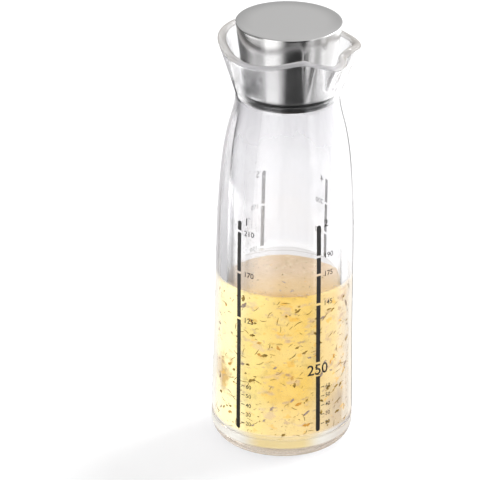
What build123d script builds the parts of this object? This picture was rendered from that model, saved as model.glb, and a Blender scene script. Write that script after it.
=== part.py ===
from build123d import *
from math import cos, exp, radians, sin, sqrt
import os

# Shaker bottle for salad dressing: a thick glass bottle with a wavy pouring mouth, and a stopper lid.
# Millimetres, +Z up. The origin is on the bottle's axis, on the face that it stands on.
# The pouring lip points along +X.

# Glass bottle, outside. Each stretch up the wall has its rise and how much narrower it gets there.
base_radius = 31.6
base_corner_radius = 8.3
lower_body_rise = 55.0
lower_body_taper = 0.8
upper_body_rise = 50.0
upper_body_taper = 0.6
shoulder_rise = 25.0
shoulder_taper = 1.3
shoulder_turn_rise = 21.5
shoulder_turn_taper = 3.2
neck_rise = 14.5
neck_taper = 2.8

# Glass walls, from the floor to the rim
floor_thickness = 7.0
floor_corner_radius = 6.0
lower_body_wall = 5.3
upper_body_wall = 5.1
shoulder_wall = 4.3
shoulder_turn_wall = 3.4
neck_wall = 2.6
rim_wall = 3.8

# Mouth. Its edge stands out from the neck and above it, in waves that go round once, twice and three times.
rim_spread = 8.4
rim_offset = 0.95
rim_oval = 1.25
rim_three_wave = 1.1
rim_rise = 23.6
rim_tilt = 1.2
rim_saddle = 2.0
rim_three_lift = 0.8
rim_crown = 1.4

# Pouring lip, with a pinch on each side of it
lip_reach = 5.0
lip_drop = 5.0
lip_thickening = 0.8
lip_half_angle = 11.5
pinch_depth = 2.0
pinch_drop = 1.3
pinch_angle = 16.5
pinch_half_angle = 3.4

# How the mouth opens from the neck to the rim, and where in the wall the rim's crest is
flare_round_share = 0.05
lip_fade_power = 1.7
crest_wall_share = 0.5

# Where the mouth is rooted in the neck's wall
mouth_root_inset = 0.02
mouth_root_depth = 1.0

# Dressing in the bottle
dressing_depth = 72.6
dressing_clearance = 0.1

# Lid, steel shell
lid_neck_clearance = 1.2
lid_shell_height = 30.9
lid_taper = 4.2
shell_wall = 0.7
shell_top_wall = 0.9
shell_edge_radius = 0.4
shell_hem_width = 0.9
shell_hem_thickness = 0.8

# Lid, plastic core
core_mouth_clearance = 0.1
core_wall = 1.8
core_top_wall = 1.6
collar_thickness = 0.8
collar_inset = 0.25
spigot_inset = 0.6

# Lid, seal
seal_seat_depth = 0.6
seal_height = 2.9
seal_bore_clearance = 0.05
seal_lip_clearance = 0.06
seal_lip_half_height = 0.62
seal_web_depth = 0.9
seal_lip_place_share = 0.25

# Lid, base cover
cover_thickness = 1.0
cover_inset = 0.9
cover_edge_radius = 0.3
cover_plug_height = 3.0
cover_plug_wall = 1.4
cover_plug_clearance = 0.05

# One overrun for all cuts
overrun = 2.0

# Angles round the axis, from the middle of the lip to its back, where the mouth's waves are drawn
station_angles = [0, 3, 6, 9, 12, 14, 16, 18, 20, 23, 27, 33, 42, 54, 68, 84, 100, 116, 132, 148, 164]
half_turn = 180
full_turn = 360

# Heights of the mouth's rings, as shares of the way from the neck to the rim
outer_ring_shares = [0, 0.05, 0.14, 0.3, 0.5, 0.72, 0.9, 1]
inner_ring_shares = [1, 0.88, 0.68, 0.46, 0.26, 0.12, 0.04, 0]

# Places up the bottle
lower_body_radius = base_radius - lower_body_taper
upper_body_radius = lower_body_radius - upper_body_taper
shoulder_radius = upper_body_radius - shoulder_taper
shoulder_turn_radius = shoulder_radius - shoulder_turn_taper
neck_radius = shoulder_turn_radius - neck_taper
bore_radius = neck_radius - neck_wall
lower_body_height = lower_body_rise
upper_body_height = lower_body_height + upper_body_rise
shoulder_height = upper_body_height + shoulder_rise
shoulder_turn_height = shoulder_height + shoulder_turn_rise
neck_height = shoulder_turn_height + neck_rise

# Places up the lid, from its seat in the neck
seal_bottom = neck_height - seal_seat_depth
collar_bottom = seal_bottom + seal_height
shell_bottom = collar_bottom + collar_thickness
shell_top = shell_bottom + lid_shell_height
seal_lip_radius = bore_radius - seal_lip_clearance
shell_bottom_radius = bore_radius - lid_neck_clearance
shell_top_radius = shell_bottom_radius + lid_taper
shell_mouth_radius = shell_bottom_radius - shell_wall - shell_hem_width
core_radius = shell_mouth_radius - core_mouth_clearance
spigot_radius = core_radius - spigot_inset
core_hollow_radius = spigot_radius - core_wall


def turned(points):
    """A solid of revolution from the corners of its half section."""
    return revolve(Plane.XZ * make_face(Polyline(points, close=True)), Axis.Z)


def tube(outer_radius, inner_radius, low, high):
    """A straight round tube, or a disc where the inner radius is zero."""
    return turned([(inner_radius, low), (outer_radius, low), (outer_radius, high), (inner_radius, high)])


def bell(angle, centre, width):
    """A smooth bump round an angle."""
    return exp(-0.5 * ((angle - centre) / width) ** 2)


def rim_point(angle):
    """How far the rim stands out from the neck and above it, how far the lip moves it out, and its wall."""
    turn = radians(angle)
    aside = abs(angle)
    spread = rim_spread - rim_offset * cos(turn) + rim_oval * cos(2 * turn) - rim_three_wave * cos(3 * turn)
    rise = rim_rise + rim_tilt * cos(turn) + rim_saddle * cos(2 * turn) + rim_three_lift * cos(3 * turn)
    lip = bell(aside, 0, lip_half_angle)
    pinch = bell(aside, pinch_angle, pinch_half_angle)
    reach = lip_reach * lip - pinch_depth * pinch
    drop = lip_drop * lip + pinch_drop * pinch
    return spread, rise - drop, reach, rim_wall + lip_thickening * lip


def flare(share):
    """How far the mouth has opened at a share of its height: round at the neck, then nearly straight."""
    start = flare_round_share
    return (sqrt(share**2 + start**2) - start) / (sqrt(1 + start**2) - start)


def ring(place):
    """A closed curve round the axis. place gives its radius and height at an angle from the lip."""
    back = [full_turn - angle for angle in reversed(station_angles[1:])]
    angles = station_angles + [half_turn] + back
    points = []
    for angle in angles:
        radius, height = place(angle if angle <= half_turn else angle - full_turn)
        points.append((radius * cos(radians(angle)), radius * sin(radians(angle)), height))
    return Wire([Edge.make_spline(points, periodic=True, parameters=angles + [full_turn])])


def mouth_ring(share, root_radius, wall_share, lift=0):
    """One curve round the mouth, at a share of the way up to the rim and of the way through its wall."""

    def place(angle):
        spread, rise, reach, wall = rim_point(angle)
        opened = (neck_radius + spread - wall * wall_share - root_radius) * flare(share)
        radius = root_radius + opened + reach * share**lip_fade_power
        return radius, neck_height + rise * share + lift

    return ring(place)


def mouth():
    """The flared mouth with its rounded rim, rooted a little way inside the neck's wall."""
    outer = neck_radius - mouth_root_inset
    inner = bore_radius + mouth_root_inset
    root_height = neck_height - mouth_root_depth
    rings = [ring(lambda angle: (outer, root_height))]
    rings += [mouth_ring(share, outer, 0) for share in outer_ring_shares]
    rings.append(mouth_ring(1, (outer + inner) / 2, crest_wall_share, rim_crown))
    rings += [mouth_ring(share, inner, 1) for share in inner_ring_shares]
    rings.append(ring(lambda angle: (inner, root_height)))
    skin = Shell.make_loft(rings)
    ends = skin.edges().filter_by(lambda edge: edge.bounding_box().max.Z < neck_height)
    ends = ends.sort_by(lambda edge: edge.length)
    root = Face(Wire([ends[-1]]), [Wire([ends[0]])])
    return Solid(Shell(list(skin.faces()) + [root]))


def outside_outline():
    """Half section of the glass below the neck, without its hollow."""
    corner = base_corner_radius
    foot = (base_radius - corner, 0)
    side = (base_radius, corner)
    points = [
        side,
        (lower_body_radius, lower_body_height),
        (upper_body_radius, upper_body_height),
        (shoulder_radius, shoulder_height),
        (shoulder_turn_radius, shoulder_turn_height),
        (neck_radius, neck_height),
    ]
    edges = [
        Line((0, 0), foot),
        RadiusArc(foot, side, -corner),
        Spline(points, tangents=[(0, 1), (0, 1)]),
        Line((neck_radius, neck_height), (0, neck_height)),
        Line((0, neck_height), (0, 0)),
    ]
    return Plane.XZ * make_face(edges)


def hollow_outline(gap=0):
    """Half section of the bottle's hollow below the neck, or of what fills it with a gap left all round."""
    corner = floor_corner_radius
    low = floor_thickness + gap
    side_radius = base_radius - lower_body_wall - gap
    foot = (side_radius - corner, low)
    side = (side_radius, low + corner)
    points = [
        side,
        (lower_body_radius - lower_body_wall - gap, lower_body_height),
        (upper_body_radius - upper_body_wall - gap, upper_body_height),
        (shoulder_radius - shoulder_wall - gap, shoulder_height),
        (shoulder_turn_radius - shoulder_turn_wall - gap, shoulder_turn_height),
        (bore_radius - gap, neck_height),
    ]
    edges = [
        Line((0, low), foot),
        RadiusArc(foot, side, -corner),
        Spline(points, tangents=[(0, 1), (0, 1)]),
        Line((bore_radius - gap, neck_height), (0, neck_height)),
        Line((0, neck_height), (0, low)),
    ]
    return Plane.XZ * make_face(edges)


def glass_bottle():
    """Thick body, heavy floor, narrow neck and wavy mouth, all one piece of glass."""
    body = revolve(outside_outline(), Axis.Z) - revolve(hollow_outline(), Axis.Z)
    return body + mouth()


def dressing():
    """The liquid, up to its level."""
    filling = revolve(hollow_outline(dressing_clearance), Axis.Z)
    return filling & tube(base_radius, 0, 0, floor_thickness + dressing_depth)


def lid_shell():
    """Steel cup, wide end up, with its lower edge turned inwards."""
    inner_top = shell_top - shell_top_wall
    hem_top = shell_bottom + shell_hem_thickness
    slope = lid_taper / lid_shell_height
    hem_radius = shell_bottom_radius + shell_hem_thickness * slope - shell_wall
    top_radius = shell_top_radius - shell_top_wall * slope - shell_wall
    shell = turned([
        (0, shell_top),
        (shell_top_radius, shell_top),
        (shell_bottom_radius, shell_bottom),
        (shell_mouth_radius, shell_bottom),
        (shell_mouth_radius, hem_top),
        (hem_radius, hem_top),
        (top_radius, inner_top),
        (0, inner_top),
    ])
    rim = shell.edges().filter_by(GeomType.CIRCLE).group_by(Axis.Z)[-1]
    return fillet(rim, shell_edge_radius)


def lid_core():
    """Hollow plastic plug inside the shell, with the collar and the spigot that carry the seal."""
    top = shell_top - shell_top_wall
    plug = tube(core_radius, 0, shell_bottom, top)
    collar = tube(shell_bottom_radius - collar_inset, 0, collar_bottom, shell_bottom)
    spigot = tube(spigot_radius, 0, seal_bottom, collar_bottom)
    hollow = tube(core_hollow_radius, 0, seal_bottom - overrun, top - core_top_wall)
    return plug + collar + spigot - hollow


def lid_seal():
    """Silicone ring round the spigot, with two rounded lips that meet the neck."""
    web_radius = seal_lip_radius - seal_web_depth
    seal = tube(web_radius, spigot_radius + seal_bore_clearance, seal_bottom, collar_bottom)
    for share in (seal_lip_place_share, 1 - seal_lip_place_share):
        lip = Circle(seal_lip_half_height)
        place = (seal_lip_radius - seal_lip_half_height, seal_bottom + seal_height * share)
        seal += revolve(Plane.XZ * Pos(*place) * lip, Axis.Z)
    return seal


def lid_base_cover():
    """Disc under the seal, with a short ring that plugs the core's open end."""
    disc = tube(shell_bottom_radius - cover_inset, 0, seal_bottom - cover_thickness, seal_bottom)
    low_edge = disc.edges().filter_by(GeomType.CIRCLE).group_by(Axis.Z)[0]
    disc = fillet(low_edge, cover_edge_radius)
    plug_radius = core_hollow_radius - cover_plug_clearance
    return disc + tube(plug_radius, plug_radius - cover_plug_wall, seal_bottom, seal_bottom + cover_plug_height)


pieces = {
    "glass_bottle": glass_bottle(),
    "dressing": dressing(),
    "lid_shell": lid_shell(),
    "lid_core": lid_core(),
    "lid_seal": lid_seal(),
    "lid_base_cover": lid_base_cover(),
}

os.makedirs("parts", exist_ok=True)
for node, solid in pieces.items():
    export_step(solid, "parts/" + node + ".step")
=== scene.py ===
import math
import random

import bmesh
import bpy
import numpy as np
from mathutils import Matrix, Vector


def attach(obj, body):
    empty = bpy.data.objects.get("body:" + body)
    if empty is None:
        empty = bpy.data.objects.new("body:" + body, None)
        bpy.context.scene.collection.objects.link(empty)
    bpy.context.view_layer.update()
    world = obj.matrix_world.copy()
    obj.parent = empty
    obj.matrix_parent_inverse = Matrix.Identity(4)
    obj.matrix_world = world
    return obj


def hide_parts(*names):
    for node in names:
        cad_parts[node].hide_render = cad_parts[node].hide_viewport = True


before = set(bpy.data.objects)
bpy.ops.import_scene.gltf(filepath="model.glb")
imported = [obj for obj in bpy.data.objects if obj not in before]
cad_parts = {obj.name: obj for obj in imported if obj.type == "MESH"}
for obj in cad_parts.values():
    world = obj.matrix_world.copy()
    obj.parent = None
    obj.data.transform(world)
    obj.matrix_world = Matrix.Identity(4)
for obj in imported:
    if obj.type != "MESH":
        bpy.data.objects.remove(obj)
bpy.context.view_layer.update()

mm = 0.001
lipAside = 38.0  # degrees from the camera's side to the pouring lip
white = (1, 1, 1, 1)
random.seed(7)
print("frame loaded:", len(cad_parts), "nodes")


class Signal:  # a shader socket with ordinary maths
    def __init__(self, tree, socket=None):
        self.tree = tree
        self.socket = socket

    def node(self, kind, settings=None, sockets=None, output=0):
        made = self.tree.nodes.new("ShaderNode" + kind)
        for name, value in (settings or {}).items():
            if name == "stops":  # a colour ramp's places and colours
                ramp = made.color_ramp.elements
                ramp[0].position, ramp[1].position = value[0][0], value[-1][0]
                ramp[0].color, ramp[1].color = (*value[0][1], 1), (*value[-1][1], 1)
                for place, colour in value[1:-1]:
                    ramp.new(place).color = (*colour, 1)
            else:
                setattr(made, name, value)
        for name, value in (sockets or {}).items():
            if isinstance(value, Signal):
                self.tree.links.new(value.socket, made.inputs[name])
            else:
                made.inputs[name].default_value = value
        return Signal(self.tree, made.outputs[output])

    def maths(self, operation, first, second):
        return self.node("Math", {"operation": operation}, {0: first, 1: second})

    def __add__(self, other):
        return self.maths("ADD", self, other)

    __radd__ = __add__

    def __sub__(self, other):
        return self.maths("SUBTRACT", self, other)

    def __rsub__(self, other):
        return self.maths("SUBTRACT", other, self)

    def __mul__(self, other):
        return self.maths("MULTIPLY", self, other)

    __rmul__ = __mul__

    def __truediv__(self, other):
        return self.maths("DIVIDE", self, other)

    def __pow__(self, other):
        return self.maths("POWER", self, other)

    def atLeast(self, other):
        return self.maths("MAXIMUM", self, other)

    def over(self, low, high):  # 0 at low, 1 at high, smooth between
        ends = {"Value": self, "From Min": low, "From Max": high}
        return self.node("MapRange", {"interpolation_type": "SMOOTHSTEP"}, ends)

    def tint(self, first, second):  # first where the signal is 0, second where it's 1
        return self.node("Mix", {"data_type": "RGBA"}, {0: self, 6: first, 7: second}, 2)

    def noise(self, where, scale, detail=2.0, rough=0.5):
        sockets = {"Vector": where, "Scale": scale, "Detail": detail, "Roughness": rough}
        return self.node("TexNoise", None, sockets)

    def stretched(self, where, stretch):
        return self.node("VectorMath", {"operation": "MULTIPLY"}, {0: where, 1: stretch})

    def part(self, letter):  # X, Y or Z of a place or a direction
        return self.node("SeparateXYZ", None, {0: self}, letter)


def newMaterial(name):
    made = bpy.data.materials.new(name)
    made.use_nodes = True
    made.node_tree.nodes.clear()
    return made, Signal(made.node_tree)


def finishMaterial(made, shader):
    out = made.node_tree.nodes.new("ShaderNodeOutputMaterial")
    made.node_tree.links.new(shader.socket, out.inputs["Surface"])
    return made


def onObject(s):
    return s.node("TexCoord", None, None, "Object")


def paint(s, sockets):
    return s.node("BsdfPrincipled", None, sockets)


def shaderMix(s, share, first, second):
    return s.node("MixShader", None, {0: share, 1: first, 2: second})


def clearShader(s, colour):
    return s.node("BsdfTransparent", None, {"Color": colour})


def isRay(s, kind):
    return s.node("LightPath", None, None, "Is " + kind + " Ray")


def lampsPass(s, seen, shade):
    # shadow and diffuse rays meet only a pale filter, so lamps shine through
    passing = isRay(s, "Shadow").atLeast(isRay(s, "Diffuse"))
    return shaderMix(s, passing, seen, clearShader(s, shade))


# places on the object in millimetres, the last two as seen from the lip's left
def heightOf(where):
    return where.part("Z") / mm


def asideOf(where):  # to the right of the axis
    turn = math.radians(lipAside)
    return (where.part("X") * math.sin(turn) + where.part("Y") * math.cos(turn)) / mm


def nearerOf(where):  # in front of the axis
    turn = math.radians(lipAside)
    return (where.part("X") * math.cos(turn) - where.part("Y") * math.sin(turn)) / mm


def fades(signal, stretches):
    # a signal's named stretches: 0 before each, 1 past it
    return lambda name: signal.over(*stretches[name])


def smoothSide(points, steps):
    # a smooth curve through the points, upright at both ends
    places = np.array(points, float)
    spans = np.hypot(*np.diff(places, axis=0).T)
    count = len(places)
    system = np.eye(count)
    wanted = np.zeros((count, 2))
    wanted[0] = wanted[-1] = (0, 1)
    for i in range(1, count - 1):
        before, after = spans[i - 1], spans[i]
        system[i, i - 1:i + 2] = 1 / before, 2 / before + 2 / after, 1 / after
        wanted[i] = 3 * ((places[i] - places[i - 1]) / before**2 + (places[i + 1] - places[i]) / after**2)
    slopes = np.linalg.solve(system, wanted)
    curve = []
    for i in range(count - 1):
        parts = max(2, round(steps * spans[i] / spans.sum()))
        for t in np.linspace(0, 1, parts, endpoint=i == count - 2):
            curve.append(
                (2 * t**3 - 3 * t**2 + 1) * places[i] + (t**3 - 2 * t**2 + t) * spans[i] * slopes[i]
                + (3 * t**2 - 2 * t**3) * places[i + 1] + (t**3 - t**2) * spans[i] * slopes[i + 1]
            )
    return [tuple(p) for p in curve]


def radiusOn(curve, height):
    for (r0, z0), (r1, z1) in zip(curve, curve[1:]):
        if z0 <= height <= z1:
            return r0 + (r1 - r0) * (height - z0) / (z1 - z0)
    return curve[0][0]


def cornerArc(centre, radius, start, end, steps):
    # angles in degrees, from +r towards +z
    return [
        (centre[0] + radius * math.cos(math.radians(a)), centre[1] + radius * math.sin(math.radians(a)))
        for a in np.linspace(start, end, steps)
    ]


def addObject(name, data):
    made = bpy.data.objects.new(name, data)
    bpy.context.scene.collection.objects.link(made)
    return made


def placePiece(name, mesh, body):
    mesh.polygons.foreach_set("use_smooth", [True] * len(mesh.polygons))
    piece = addObject(name, mesh)
    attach(piece, body)
    return piece


def addMesh(name, points, faces, body, materials, faceSlots=None, sharp=None):
    mesh = bpy.data.meshes.new(name)
    mesh.from_pydata([tuple(c * mm for c in p) for p in points], [], faces)
    for material in materials:
        mesh.materials.append(material)
    if faceSlots is not None:
        mesh.polygons.foreach_set("material_index", faceSlots)
    mesh.validate()
    shape = bmesh.new()
    shape.from_mesh(mesh)
    bmesh.ops.recalc_face_normals(shape, faces=shape.faces)
    shape.to_mesh(mesh)
    shape.free()
    piece = placePiece(name, mesh, body)
    if sharp:
        mesh.set_sharp_from_angle(angle=math.radians(sharp))
    return piece


def evenAngles(count):
    return [2 * math.pi * i / count for i in range(count)]


def skinRings(rings, angles, loop=False):
    # rings: each gives radius and height at an angle, in a loop or from one pole to the other
    points, faces = [], []
    count = len(angles)
    for ring in rings:
        for angle in angles:
            radius, height = ring(angle) if callable(ring) else ring
            points.append((radius * math.cos(angle), radius * math.sin(angle), height))
    for row in range(len(rings) if loop else len(rings) - 1):
        after = (row + 1) % len(rings)
        for i in range(count):
            j = (i + 1) % count
            faces.append((row * count + i, row * count + j, after * count + j, after * count + i))
    if not loop:
        low = len(points)
        points.append((0, 0, points[0][2]))
        high = len(points)
        points.append((0, 0, points[low - 1][2]))
        last = (len(rings) - 1) * count
        for i in range(count):
            j = (i + 1) % count
            faces.append((low, j, i))
            faces.append((high, last + i, last + j))
    return points, faces


def slotsOf(rowSlots, count):
    # a slot for each face: its row's, and at the poles the first or the last row's
    return [slot for slot in rowSlots for _ in range(count)] + [rowSlots[0], rowSlots[-1]] * count


def spun(name, outline, body, material, count, sharp, loop=False):
    # a turned piece: its half section as radius and height
    points, faces = skinRings(outline, evenAngles(count), loop)
    return addMesh(name, points, faces, body, [material], sharp=sharp)


glassLook = {
    "tint": (0.965, 0.965, 0.975, 1), "baseTint": (0.96, 0.89, 0.79, 1), "shadow": (0.93, 0.93, 0.94, 1),
    "ior": 1.5, "wetIor": 1.075,  # wet: glass against the dressing
    "waviness": 0.035, "dropDepth": 0.20,
    # mist on the dry wall, partly painted shade, and the painted dark reflections in the thick wall on the
    # left
    "film": (0.83, 0.825, 0.84, 1), "mist": (0.84, 0.83, 0.85, 1), "mistShare": 0.36,
    "band": (0.34, 0.335, 0.345, 1), "paintedReflectionLow": (0.13, 0.13, 0.135, 1), "corner": (0.25, 0.25, 0.26, 1),
    # the base, which the dressing lights
    "milk": (0.78, 0.65, 0.53, 1), "milkShare": 0.24, "paintedGlow": 0.08,
    "cream": (1.0, 0.79, 0.35, 1), "creamShare": 0.70,
    "gleam": (1.0, 0.99, 0.93, 1), "gleamRight": (0.74, 0.70, 0.66, 1),
    # the rim, with painted light and shade
    "rimShare": 0.31, "rimSide": (0.50, 0.475, 0.45, 1), "rimLine": (0.36, 0.34, 0.32, 1),
    # the light that goes straight through, greyed on the left as painted shade
    "straight": (0.975, 0.97, 0.965, 1), "straightLeft": (0.75, 0.745, 0.755, 1),
    "straightHigh": (0.84, 0.835, 0.845, 1),
    # the outermost edges: painted light and shade, and a painted dark line
    "edge": (0.97, 0.95, 0.87, 1), "edgeLow": (1.0, 1.0, 0.97, 1), "edgeRight": (0.80, 0.75, 0.67, 1),
    "edgeLeft": (0.66, 0.65, 0.66, 1),
    "edgeLine": (0.24, 0.24, 0.245, 1), "edgeLineLow": (0.62, 0.62, 0.625, 1),
    # stretches of height, in millimetres
    "heights": {
        "footMilk": (3, 8), "footClear": (4, 8), "baseTint": (5, 9), "cream": (6.0, 7.5),
        "creamEnd": (10, 12), "edges": (10, 16), "edgeColour": (12, 16), "edgeYellow": (20, 34),
        "leaving": (52, 58),
        "line": (79, 84), "dry": (80, 84), "bandPales": (105, 122), "rightFilm": (105, 135),
        "edgeDark": (112, 140), "bandEnd": (120, 140), "greyPales": (128, 146), "shoulderFilm": (138, 160),
        "neckFilm": (142, 166), "straightEnd": (155, 163), "edgesEnd": (163, 168), "dryEnd": (164, 168),
        "corner": (166, 169), "mouthStraight": (168, 174), "mouthFilm": (170, 174), "mouthMist": (170, 176),
        "cornerEnd": (174, 179), "rimStraight": (174, 182), "leftRim": (176, 184), "rightRim": (178, 186),
    },
    # stretches to one side of the axis, or behind it, in millimetres
    "sides": {
        "left": (2, 12), "farWall": (2, 14), "drops": (4, 14), "rightFilm": (4, 14), "rightShoulder": (6, 15),
        "creamEnd": (9, 19), "corner": (14, 19), "gleamRight": (17, 27), "rimSides": (18, 25),
        "leftRim": (18, 24), "rightRim": (23, 29),
    },
    # how far the wall is seen edge on
    "turns": {
        "band": (0.38, 0.46), "straight": (0.45, 0.53), "mouth": (0.50, 0.75), "rimLine": (0.50, 0.85),
        "edge": (0.62, 0.78), "edgeShare": (0.76, 0.86), "line": (0.76, 0.88),
    },
}


def clearGlass(name, ior, wave, drops=0.0, paintedRimLight=0.0, outside=False):
    made, s = newMaterial(name)
    look = glassLook
    where = onObject(s)
    aside = asideOf(where)
    facing = s.node("LayerWeight", None, {"Blend": 0.5}, "Facing")
    above, edgeOn = fades(heightOf(where), look["heights"]), fades(facing, look["turns"])
    rightOf, leftOf = fades(aside, look["sides"]), fades(aside * -1, look["sides"])
    offAxis = fades(aside.atLeast(aside * -1), look["sides"])
    lumps = s.noise(s.stretched(where, (1, 1, 0.35)), 60.0, 1.5) * wave
    if drops:  # condensed drops on the dry wall, in patches on the left
        cells = s.node("TexVoronoi", None, {"Vector": where, "Scale": 1000.0, "Randomness": 1.0}, "Distance")
        patches = s.noise(where, 70.0, 2.0).over(0.45, 0.62) * leftOf("drops")
        lumps = lumps + (1 - cells.over(0.06, 0.24)) * patches * drops
    bump = s.node("Bump", None, {"Height": lumps, "Strength": 1.0, "Distance": mm})
    # a thin film of mist above the dressing, thickest at the neck and on the left, in soft upright streaks;
    # its grey is partly painted shade
    dry = above("dry") * (1 - above("dryEnd"))
    onLeft = leftOf("left")
    inRight = rightOf("rightFilm") * above("rightFilm")
    film = dry * (0.28 + above("neckFilm") * 0.75 + onLeft * 0.25 + inRight * 0.15)
    film = film + above("mouthFilm") * (0.12 + onLeft * 0.08)
    film = film + above("rightRim") * rightOf("rightRim") * 0.5 + above("leftRim") * leftOf("leftRim") * 0.25
    film = film + above("shoulderFilm") * (1 - above("dryEnd")) * (rightOf("rightShoulder") * 0.5 + 0.15)
    streaks = s.noise(s.stretched(where, (1, 1, 0.05)), 130.0, 3.0).over(0.36, 0.66)
    film = film * (0.75 + streaks * 0.25)
    colour = film.tint(look["tint"], look["film"])
    if outside:  # a painted dark reflection: an upright band in the left wall, paler from the shoulder up
        highUp = above("bandPales")
        wide = facing + (1 - highUp) * 0.05
        band = dry * onLeft * wide.over(*look["turns"]["band"]) * (1 - above("bandEnd") * 0.85)
        colour = band.tint(colour, highUp.tint(look["paintedReflectionLow"], look["band"]))
    # painted shade: a grey patch on the left where the neck turns out into the mouth
    corner = above("corner") * (1 - above("cornerEnd")) * leftOf("corner")
    colour = corner.tint(colour, look["corner"])
    colour = (1 - above("baseTint")).tint(colour, look["baseTint"])
    glass = paint(s, {
        "Base Color": colour, "Roughness": 0.0, "IOR": ior,
        "Transmission Weight": 1.0, "Normal": bump,
    })
    # where it is seen edge on, the outside lets the pale room straight through
    overLine = above("line")
    straight = (above("rimStraight") * 0.15).atLeast((1 - above("footClear")) * 0.3)
    if outside:
        leaving = s.node("NewGeometry", None, None, "Backfacing") * above("leaving")
        body = overLine.atLeast(leaving) * (1 - above("straightEnd"))
        straight = straight.atLeast(edgeOn("straight") * body * 0.9)
        straight = straight.atLeast(edgeOn("mouth") * above("mouthStraight") * 0.55)
    # painted shade: on the left the straight light is greyed, less so higher up
    greyLow, greyHigh = clearShader(s, look["straightLeft"]), clearShader(s, look["straightHigh"])
    grey = shaderMix(s, above("greyPales"), greyLow, greyHigh)
    direct = shaderMix(s, above("leaving") * onLeft, clearShader(s, look["straight"]), grey)
    glass = shaderMix(s, straight, glass, direct)
    # a milky layer with a painted glow: the film's mist, and painted light and shade on the rim, the
    # outermost edges and the base
    # painted light at the base: the dressing's yellow in a band, a painted white gleam to both sides of it,
    # greyer far to the right, tan elsewhere
    creamy = above("cream") * (1 - above("creamEnd"))
    gleam = rightOf("gleamRight").tint(look["gleam"], look["gleamRight"])
    pale = creamy.tint(look["milk"], offAxis("creamEnd").tint(look["cream"], gleam))
    # painted light and shade at the outermost edges: warm white beside the dressing, greyer on the right;
    # above it, grey on the left and a dark line on the right
    lowLeft = above("edgeYellow").tint(look["edgeLow"], look["edge"])
    pale = above("edgeColour").tint(pale, onLeft.tint(look["edgeRight"], lowLeft))
    line = above("edgeDark").tint(look["edgeLineLow"], look["edgeLine"])
    line = edgeOn("line").tint(white, line)
    pale = overLine.tint(pale, onLeft.tint(line, look["edgeLeft"]))
    mistAndPaintedLight = (1 - above("footMilk")) * look["milkShare"] + creamy * look["creamShare"] + paintedRimLight
    if outside:
        share = 0.8 + overLine * (edgeOn("edgeShare") * 0.4 - 0.3)
        mistAndPaintedLight = mistAndPaintedLight.atLeast(edgeOn("edge") * above("edges") * (1 - above("edgesEnd")) * share)
    if drops:  # thicker on the far wall, which pales the bars behind it
        farther = fades(nearerOf(where) * -1, look["sides"])
        mistAndPaintedLight = mistAndPaintedLight + film * (1 + farther("farWall") * 0.6) * look["mistShare"]
        pale = overLine.tint(pale, look["mist"])
    pale = above("mouthMist").tint(pale, look["mist"])
    if paintedRimLight:  # painted shade on the rim: darker and cloudier at both sides, with a painted dark line along its edges
        mistAndPaintedLight = mistAndPaintedLight + offAxis("rimSides") * paintedRimLight + edgeOn("rimLine") * 0.25
        pale = offAxis("rimSides").tint(pale, look["rimSide"])
        pale = (edgeOn("rimLine") * 0.8).tint(pale, look["rimLine"])
    milk = paint(s, {
        "Base Color": pale, "Roughness": 1.0, "Specular IOR Level": 0.0,
        "Emission Color": pale, "Emission Strength": look["paintedGlow"],
    })
    return finishMaterial(made, lampsPass(s, shaderMix(s, mistAndPaintedLight, glass, milk), look["shadow"]))


bottle = {
    "foot": 23.3, "corner": 8.3, "cornerStart": -82, "cornerSteps": 14,
    "dome": 0.5, "domeRadius": 20.0, "domeRings": (1.5, 5, 9, 13, 16.5, 19),
    "outside": [(31.6, 8.3), (30.8, 55.0), (30.2, 105.0), (28.9, 130.0), (25.7, 151.5), (22.9, 166.0)],
    "inside": [(26.3, 13.0), (25.5, 55.0), (25.1, 105.0), (24.6, 130.0), (22.3, 151.5), (20.3, 166.0)],
    "outsideSteps": 74, "insideSteps": 120,
    "floor": 7.0, "floorCorner": 6.0, "floorSteps": 12, "floorRings": (17, 12, 7, 2),
    "neckRadius": 22.9, "boreRadius": 20.3, "neckHeight": 166.0,
    "segments": 360,
}
mouth = {
    "spread": 8.4, "offset": 0.95, "oval": 1.25, "threeWave": 1.1,
    "rise": 23.6, "tilt": 1.2, "saddle": 2.0, "threeLift": 0.8,
    "wall": 3.8, "crown": 1.4, "crownSteps": 15, "lipThickening": 0.8,
    "lipReach": 5.0, "lipDrop": 5.0, "lipHalf": 11.5, "lipFade": 1.7,
    "pinchDepth": 2.0, "pinchDrop": 1.3, "pinchAngle": 16.5, "pinchHalf": 3.4,
    "flareRound": 0.05,
    "flareShares": (
        0, 0.02, 0.045, 0.08, 0.12, 0.17, 0.23, 0.3, 0.38, 0.46, 0.54, 0.62, 0.7, 0.78, 0.86, 0.93, 0.975, 1,
    ),
}
dressing = {
    "level": 79.6, "climb": 0.4, "climbFade": 0.8, "gap": 0.1, "top": 25.2,
    "floorRings": (1.5, 6, 11, 16), "sideRings": 46, "segments": 180,
    "topInsets": (0.12, 0.35, 0.7, 1.2, 1.9, 2.8, 4.0, 5.5, 7.5, 10, 13, 16, 19, 22),
}
outerCurve = smoothSide(bottle["outside"], bottle["outsideSteps"])
innerCurve = smoothSide(bottle["inside"], bottle["insideSteps"])


def bell(angle, centre, width):
    return math.exp(-0.5 * ((angle - centre) / width) ** 2)


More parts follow.
